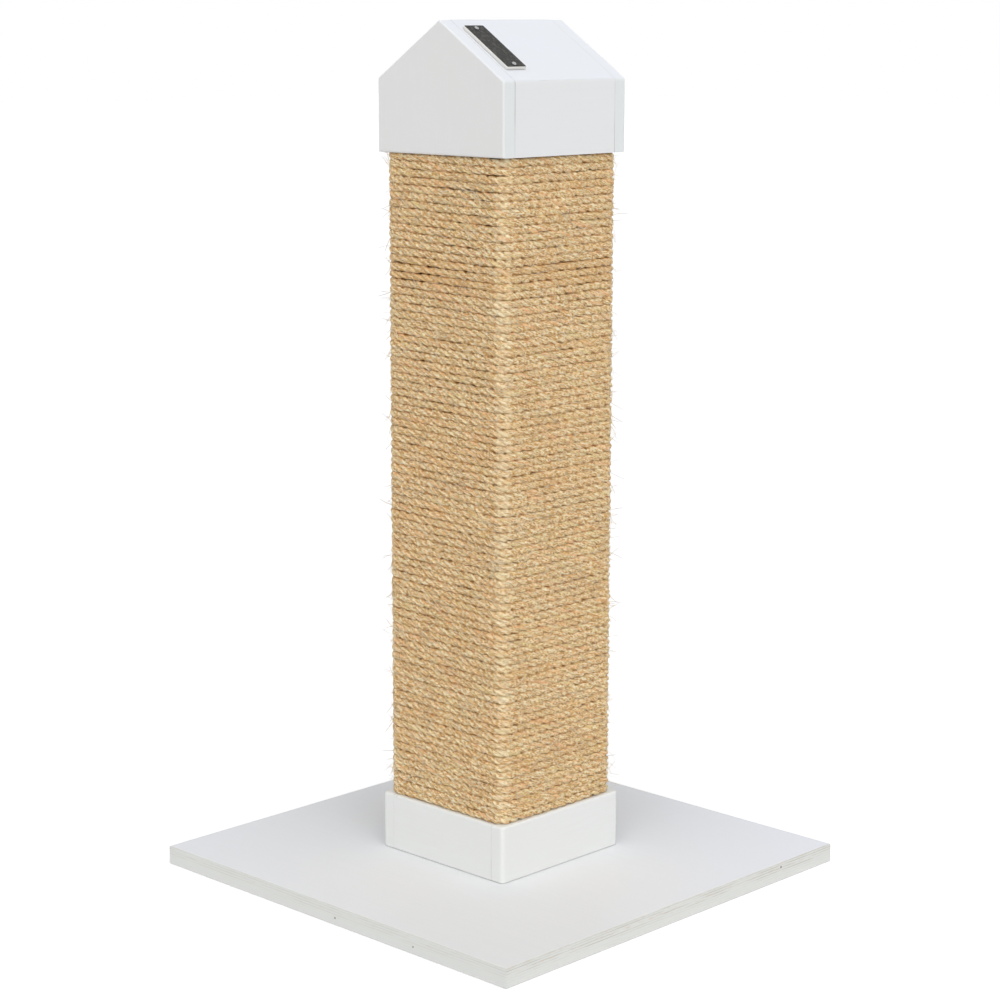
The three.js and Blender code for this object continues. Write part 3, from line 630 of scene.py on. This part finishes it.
def rope_line():
    """Even points along the whole rope, the way out and the run at each, and its lengths' ends."""
    count = int((last_turn - first_turn) * loop_length / ROPE_FINE_STEP)
    turns = np.linspace(first_turn, last_turn, count)
    wound, wound_outward = along_loop(turns)
    wound[:, 2] = row_heights(turns)
    low, high = wound[0, 2], wound[-1, 2]

    bend = np.linspace(0.0, QUARTER, HOLE_BEND_POINTS, endpoint=False)
    sine, cosine, same = np.sin(bend), np.cos(bend), np.ones(HOLE_BEND_POINTS)
    aside = HOLE_OFFSET + HOLE_BEND * (1.0 - cosine)
    inward = run_half - HOLE_BEND * (1.0 - sine)
    into = np.stack([aside, inward, low * same], 1)
    into_outward = np.stack([-cosine, sine, 0.0 * same], 1)
    out = np.stack([-inward, -aside, high * same], 1)[::-1]
    out_outward = np.stack([-sine, cosine, 0.0 * same], 1)[::-1]
    first, last = [[HOLE_OFFSET, HOLE_TAIL, low]], [[-HOLE_TAIL, -HOLE_OFFSET, high]]
    points = np.concatenate([first, into, wound, out, last])
    outward = np.concatenate(
        [into_outward[:1], into_outward, wound_outward, out_outward, out_outward[-1:]]
    )

    steps = np.linalg.norm(np.diff(points + ROPE_HALF_DEPTH * outward, axis=0), axis=1)
    run = np.concatenate([[0.0], np.cumsum(steps)])
    cuts = np.arange(1, WINDINGS) * ROWS / WINDINGS
    lead = np.interp(cuts, turns, run[1 + len(bend):-1 - len(bend)])
    stops = np.concatenate([[0.0], lead, [run[-1]]])
    even = np.linspace(0.0, run[-1], int(run[-1] / ROPE_STEP))
    points, outward = (
        np.stack([np.interp(even, run, values[:, axis]) for axis in range(3)], 1)
        for values in (points, outward)
    )
    return points, outward / np.linalg.norm(outward, axis=1, keepdims=True), even, stops


def laid_strand(strand, points, outward, run, press, twist, random):
    """One strand's points round the rope's middle, their places in the lay, and how far each is
    into a groove, for painted shade.
    """
    count = len(points)
    swell = 1.0 + swayed(run, random, *STRAND_SWELL)
    wander = swayed(run, random, STRAND_WANDER)
    height = press * (1.0 + swayed(run, random, STRAND_UNEVENNESS))
    notch_size, notch_length = GROOVE_NOTCH_SWAY
    notch = 1.0 - notch_size + notch_size * smooth_random(run, notch_length, random)
    notch = GROOVE_NOTCH * notch
    reach_power = 1.0 / SECTION_SQUARENESS
    rings, lays, groove_shades = [], [], []
    for share in np.linspace(-1.0, 1.0, POINTS_PER_STRAND, endpoint=False):  # groove to groove
        own = (2.0 * strand + share) * math.pi / STRANDS
        groove = abs(share) ** GROOVE_SHARPNESS
        size = ROPE_HALF_DEPTH * (1.0 - GROOVE_DEPTH * groove)
        angle = own + twist + wander
        rise = np.sin(angle)
        rise = rise + SECTION_EVENNESS * (np.arcsin(rise) / QUARTER - rise)
        reach = (1.0 - np.abs(rise) ** SECTION_SQUARENESS) ** reach_power * np.sign(np.cos(angle))
        out = size * reach * swell + STRAND_ROUGHNESS[0] * random.uniform(-1.0, 1.0, count)
        up = height * rise * (1.0 - notch * groove)
        up = up + STRAND_ROUGHNESS[1] * random.uniform(-1.0, 1.0, count)
        up = np.clip(up, -ROW_HALF_HEIGHT - ROW_NESTING, ROW_HALF_HEIGHT + ROW_NESTING)
        ring = points + outward * np.maximum(out, -CORE_HALF_DEPTH)[:, None] + UP * up[:, None]
        ring[:, 2] = np.clip(ring[:, 2], collar_top + ROW_CLEARANCE, cap_bottom - ROW_CLEARANCE)
        rings.append(ring)
        kept = own + FIBRE_TWIST * twist
        lays.append(np.stack([run, size * np.cos(kept), size * np.sin(kept)], 1))
        groove_shades.append(np.full(count, groove))
    return np.stack(rings, 1), np.stack(lays, 1), np.stack(groove_shades, 1)


def sisal_rope():
    """The three-strand rope, as one piece for each length that the frame holds."""
    random = np.random.default_rng(ROPE_SEED)
    points, outward, run, stops = rope_line()
    cornered = np.minimum(np.abs(outward[:, 0]), np.abs(outward[:, 1]))
    loose = np.exp(-(((points[:, 2] - LOOSE_ROWS[0]) / LOOSE_ROWS[1]) ** 2))
    thinning = np.clip(0.5 + smooth_random(run, LOOSE_THINNING_LENGTH, random), 0.0, 1.0)
    press = ROPE_HALF_HEIGHT * (1.0 - LOOSE_THINNING * loose * thinning)
    press = press * (1.0 + LEVEL_SIDE_PRESS * outward[:, 0] ** 2)
    points = points + UP * swayed(run, random, ROW_SWAY)[:, None]
    points = points + outward * swayed(run, random, FACE_SWAY)[:, None]
    twist = TURN * (run / LAY_LENGTH + swayed(run, random, LAY_SWAY))
    strands = [
        laid_strand(strand, points, outward, run, press, twist, random) for strand in range(STRANDS)
    ]
    rings, lays, groove_shades = (np.concatenate(parts, 1) for parts in zip(*strands))

    tones = TONE + swayed(run, random, *TONE_SWAYS)
    darkness = 1.0 + smooth_random(run, LOOSE_DARKNESS_LENGTH, random)
    tones = np.clip(tones + LOOSE_DARKNESS * loose * darkness, 0.0, TONE_MOST)
    # The corners' paleness: partly wear, partly a painted highlight.
    wear = np.clip(WEAR_AND_HIGHLIGHT + swayed(run, random, WEAR_AND_HIGHLIGHT_SWAY), 0.0, 1.0)
    wear = wear * np.clip(WEAR_AND_HIGHLIGHT_RISE * cornered, 0.0, 1.0)

    sides = rings.shape[1]
    material = sisal()
    for winding in range(WINDINGS):
        first = int(np.searchsorted(run, stops[winding])) - (1 if winding else 0)
        last = min(int(np.searchsorted(run, stops[winding + 1])), len(run))
        quads, ends = tube_faces(last - first, sides)
        faces = quads.tolist() + ends.tolist()
        name = f"sisal_rope_{winding + 1}"
        ring_points = rings[first:last].reshape(-1, 3)
        piece = mesh_piece(f"{name}_laid", ring_points, faces, material, (name,))
        mesh = piece.data
        lay = mesh.attributes.new("lay", "FLOAT_VECTOR", "POINT")
        lay.data.foreach_set("vector", lays[first:last].astype(np.float32).ravel())
        give_values(mesh, "depth", groove_shades[first:last])
        give_values(mesh, "tone", np.repeat(tones[first:last], sides))
        give_values(mesh, "wear", np.repeat(wear[first:last], sides))
        give_map(mesh, run[first:last], sides)


def give_map(mesh, run, sides):
    """Lays the rope out flat in strips, one to a turn, on the OFBake map."""
    at = (run - run[0]) / loop_length
    rows = math.ceil(at[-1]) + 1
    ring = np.repeat(np.arange(len(run) - 1), sides)
    side = np.tile(np.arange(sides), len(run) - 1)
    row = np.floor(at[ring])
    u = np.stack([at[ring], at[ring], at[ring + 1], at[ring + 1]], 1) - row[:, None]
    v = row[:, None] + (np.stack([side, side + 1, side + 1, side], 1) / sides) * MAP_STRIP
    corners = np.stack([u / MAP_MARGIN, v / rows], -1).reshape(-1, 2)
    ends = np.full((len(mesh.loops) - len(corners), 2), 0.999)
    layer = mesh.uv_layers.new(name="OFBake")
    layer.uv.foreach_set("vector", np.concatenate([corners, ends]).astype(np.float32).ravel())


# ---- Loose fibres ----

def loose_fibres():
    """Fine ends that stand out of the rope on all four sides, most of them nearly along it."""
    random = np.random.default_rng(FIBRE_SEED)

    def spread(ranges):
        """Random values, from the first range for standing fibres and the second for lying ones."""
        standing, lying = (random.uniform(*limits, FIBRES) for limits in ranges)
        return np.where(stands, standing, lying)

    def either_way():
        return random.choice([-1.0, 1.0], FIBRES)

    root, outward = along_loop(random.uniform(0.0, 1.0, FIBRES))
    root[:, 2] = random.uniform(collar_top + FIBRE_MARGIN, cap_bottom - FIBRE_MARGIN, FIBRES)
    root = root + outward * (ROPE_HALF_DEPTH - FIBRE_SUNK)
    stands = random.uniform(0.0, 1.0, FIBRES) < FIBRE_STANDING
    length = spread(FIBRE_LENGTHS)
    lift = spread(FIBRE_LIFTS) * length
    slope = random.normal(*FIBRE_SLOPE, FIBRES) * either_way()
    curl = random.normal(0.0, FIBRE_CURL, FIBRES) * length
    way = np.cross(outward, UP) * either_way()[:, None]

    t = np.linspace(0.0, 1.0, FIBRE_POINTS)[None, :, None]
    ahead = way * np.cos(slope)[:, None] + UP * np.sin(slope)[:, None]
    across = UP * np.cos(slope)[:, None] - way * np.sin(slope)[:, None]
    line = root[:, None] + ahead[:, None] * (length[:, None, None] * t)
    line = line + across[:, None] * (curl[:, None, None] * t * t)
    rise = FIBRE_START + lift[:, None, None] * t**FIBRE_LIFT_POWER
    line = line + outward[:, None] * rise
    # Ends that reach the collar or the cap turn along them.
    low, high = collar_top + FIBRE_CLEARANCE, cap_bottom - FIBRE_CLEARANCE
    line[..., 2] = np.clip(line[..., 2], low, high)

    stout_share, stoutness = FIBRE_STOUT
    stout = random.uniform(0.0, 1.0, FIBRES) < stout_share
    thick = random.uniform(*FIBRE_RADIUS, FIBRES) * np.where(stout, stoutness, 1.0)
    taper = (1.0 - FIBRE_TAPER * t)[..., None]
    angles = TURN * np.arange(FIBRE_SIDES) / FIBRE_SIDES
    ring = np.cos(angles)[None, None, :, None] * outward[:, None, None]
    ring = ring + np.sin(angles)[None, None, :, None] * across[:, None, None]
    points = (line[:, :, None] + ring * thick[:, None, None, None] * taper).reshape(-1, 3)

    start = np.arange(FIBRES)[:, None, None] * FIBRE_POINTS * FIBRE_SIDES
    quads, ends = tube_faces(FIBRE_POINTS, FIBRE_SIDES)
    faces = (start + quads).reshape(-1, 4).tolist()
    faces = faces + (start + ends).reshape(-1, FIBRE_SIDES).tolist()
    piece = mesh_piece("loose_fibres", points, faces, loose_fibre())
    away = lift[:, None] * np.linspace(0.0, 1.0, FIBRE_POINTS) ** FIBRE_LIFT_POWER
    away = np.clip(away / FIBRE_AWAY, 0.0, 1.0)
    give_values(piece.data, "tone", np.repeat(away.ravel(), FIBRE_SIDES))


# ---- Carried-over nodes ----

def dress(node, material):
    """Gives a node of the frame its material."""
    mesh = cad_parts[node].data
    mesh.materials.clear()
    mesh.materials.append(material)


def halfway(value_a, value_b):
    """The middle between two places in metres, in millimetres."""
    return (value_a + value_b) / 2.0 / MM


def dress_boards():
    base_low, base_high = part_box("base_plate")
    dress("base_plate", stained_plywood((base_high.z - base_low.z) / MM))
    collar_seam = halfway(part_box("collar_board_front")[1].x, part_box("collar_board_right")[0].x)
    cap_seam = halfway(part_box("cap_side_board_right")[1].y, -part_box("gable_board_front")[1].y)
    cap, collar = ("y", cap_seam), ("x", collar_seam)
    gable = painted_board(
        "paint_gable", GABLE_WHITE, "z", cap, CAP_SEAM_DARKNESS, GABLE_END_WHITE, ROOF_WHITE_SKY_TINTED
    )
    cap_side = painted_board("paint_cap_side", SIDE_WHITE, "y", cap, CAP_SEAM_DARKNESS)
    roof = painted_board("paint_roof", ROOF_WHITE_SKY_TINTED, "y", cap, ROOF_SEAM_DARKNESS)
    collar_x = painted_board("paint_collar_x", COLLAR_WHITE, "x", collar, COLLAR_SEAM_DARKNESS)
    collar_y = painted_board("paint_collar_y", COLLAR_WHITE, "y", collar, COLLAR_SEAM_DARKNESS)
    for end in ("front", "back"):
        dress(f"gable_board_{end}", gable)
        dress(f"collar_board_{end}", collar_x)
    for side in ("right", "left"):
        dress(f"cap_side_board_{side}", cap_side)
        dress(f"collar_board_{side}", collar_y)
        dress(f"roof_board_{side}", roof)


def dress_inside():
    wood_up = raw_wood("softwood_upright", "z")
    wood_flat = raw_wood("softwood_flat", "y")
    for side in ("right", "left", "front", "back"):
        dress(f"core_board_{side}", wood_up)
    for node in ("foot_block", "head_block", "cap_plate"):
        dress(node, wood_flat)


def dress_fixings():
    zinc = worked_metal("zinc_plate", ZINC, ZINC_DULL, 0.32)
    brass = worked_metal("turned_brass", BRASS, BRASS_DULL, 0.3)
    for number in range(1, 5):
        for kind in ("base_bolt", "bolt_washer", "cap_screw"):
            dress(f"{kind}_{number}", zinc)
        dress(f"threaded_insert_{number}", brass)


def dress_label():
    """The metal plate, and screws with cross recesses in place of the frame's plain ones."""
    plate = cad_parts["label_plate"].data
    outward = np.array(max(plate.polygons, key=lambda face: face.area).normal)
    outward = outward * np.sign(outward[2])
    dress("label_plate", gunmetal_plate(outward))
    steel = worked_metal("bright_steel", STEEL, STEEL_DULL, 0.3)
    for number in (1, 2):
        label_screw(f"label_screw_{number}", outward, steel)


def label_screw(node, outward, steel):
    """A round-headed screw on the axis of the frame's one, turned out of rings round that axis."""
    corners = np.array([corner.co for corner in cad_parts[node].data.vertices]) / MM
    reach = corners @ outward
    middle = corners.mean(0)
    middle = middle - (middle @ outward) * outward
    across = np.array([0.0, 1.0, 0.0])
    along = np.cross(across, outward)

    head_radius, head_height = SCREW_HEAD
    turn = np.linspace(0.0, QUARTER, SCREW_RINGS)
    tip, under = reach.min(), reach.max() - head_height
    radii = [[SCREW_TIP, SCREW_SHANK, SCREW_SHANK], head_radius * np.cos(turn[:-1]), [SCREW_CROWN]]
    radii = np.concatenate(radii)
    heights = [[tip, tip + SCREW_POINT, under], under + head_height * np.sin(turn)]
    heights = np.concatenate(heights)[:, None]
    angles = TURN * np.arange(SCREW_SIDES) / SCREW_SIDES
    flat = np.stack([np.cos(angles), np.sin(angles)], 1)[None] * radii[:, None, None]
    side_slope, end_slope = SCREW_SLOT_EDGES
    slot = np.clip((SCREW_SLOT - np.abs(flat).min(2)) / side_slope, 0.0, 1.0)
    slot = slot * np.clip((SCREW_SLOT_REACH - np.abs(flat).max(2)) / end_slope, 0.0, 1.0)
    rise = heights - SCREW_SLOT_DEPTH * slot * (heights > under + SCREW_RIM)
    points = middle + flat[..., :1] * along + flat[..., 1:] * across + rise[..., None] * outward
    quads, ends = tube_faces(len(radii), SCREW_SIDES)
    faces = quads.tolist() + ends.tolist()
    mesh_piece(f"{node}_turned", points.reshape(-1, 3), faces, steel, (node,))


# ---- Stage ----

def floor():
    half = FLOOR_SIZE / 2.0
    mesh = bpy.data.meshes.new("floor")
    corners = [(-half, -half), (half, -half), (half, half), (-half, half)]
    mesh.from_pydata([(x, y, -FLOOR_DROP) for x, y in corners], [], [(0, 1, 2, 3)])
    plane = bpy.data.objects.new("floor", mesh)
    bpy.context.scene.collection.objects.link(plane)
    finish = Finish("floor", FLOOR_COLOUR, 1.0, specular=0.0)
    seen = background_rays(finish.tree)
    finish.give("Base Color", finish.mixed(seen, FLOOR_COLOUR, FLOOR_SHOWN))
    finish.give("Emission Color", (*WHITE, 1.0))
    metres = finish.place((MM, MM, MM))
    distance = finish.node("VectorMath", {0: metres}, "Value", operation="LENGTH")
    lift = finish.ranged(distance, *FLOOR_LIFT_REACH, *FLOOR_LIFT)
    finish.give("Emission Strength", finish.product(seen, lift))
    mesh.materials.append(finish.material)


def sky():
    """Soft light from all round, broad glows in front and above, and a plain white background."""
    world = bpy.data.worlds.new("studio")
    bpy.context.scene.world = world
    world.use_nodes = True
    tree = world.node_tree
    light = tree.nodes["Background"]

    def node(*given, **settings):
        return add_node(tree, *given, **settings)

    ways = node("TexCoord", {}, "Generated")
    glows = []
    for azimuth, height, level in SKY_GLOWS:
        turn, rise = math.radians(azimuth), math.radians(height)
        middle = (math.cos(turn) * math.cos(rise), math.sin(turn) * math.cos(rise), math.sin(rise))
        near = node("VectorMath", {0: ways, 1: middle}, "Value", operation="DOT_PRODUCT")
        near = node("Math", {0: near, 1: 0.0}, operation="MAXIMUM")
        near = node("Math", {0: near, 1: SKY_GLOW_FALL}, operation="POWER")
        glows.append(node("Math", {0: near, 1: level}, operation="MULTIPLY"))
    total = glows[0]
    for glow in glows[1:]:
        total = node("Math", {0: total, 1: glow}, operation="ADD")
    shine = node("VectorMath", {0: SKY_GLOW_COLOUR, 3: total}, operation="SCALE")
    shine = node("VectorMath", {0: shine, 1: SKY_EVEN}, operation="ADD")
    feed(tree, light.inputs["Color"], shine)

    white = node("Background", {"Color": (*WHITE, 1.0)})
    shown = node("MixShader", {0: background_rays(tree), 1: light.outputs[0], 2: white})
    feed(tree, tree.nodes["World Output"].inputs["Surface"], shown)


def camera():
    data = bpy.data.cameras.new("camera")
    data.sensor_width = CAMERA_FILM
    data.lens = CAMERA_FOCAL
    data.clip_start, data.clip_end = CAMERA_CLIP
    eye = bpy.data.objects.new("camera", data)
    turn = Matrix.Rotation(math.radians(CAMERA_AZIMUTH), 4, "Z")
    tilt = Matrix.Rotation(math.radians(90.0 - CAMERA_DOWN), 4, "X")
    roll = Matrix.Rotation(math.radians(CAMERA_ROLL), 4, "Z")
    eye.matrix_world = Matrix.Translation(CAMERA_PLACE) @ turn @ tilt @ roll
    bpy.context.scene.collection.objects.link(eye)
    bpy.context.scene.camera = eye


dress_boards()
dress_inside()
dress_fixings()
dress_label()
sisal_rope()
loose_fibres()
floor()
sky()
camera()

bpy.context.scene.view_settings.view_transform = "Standard"
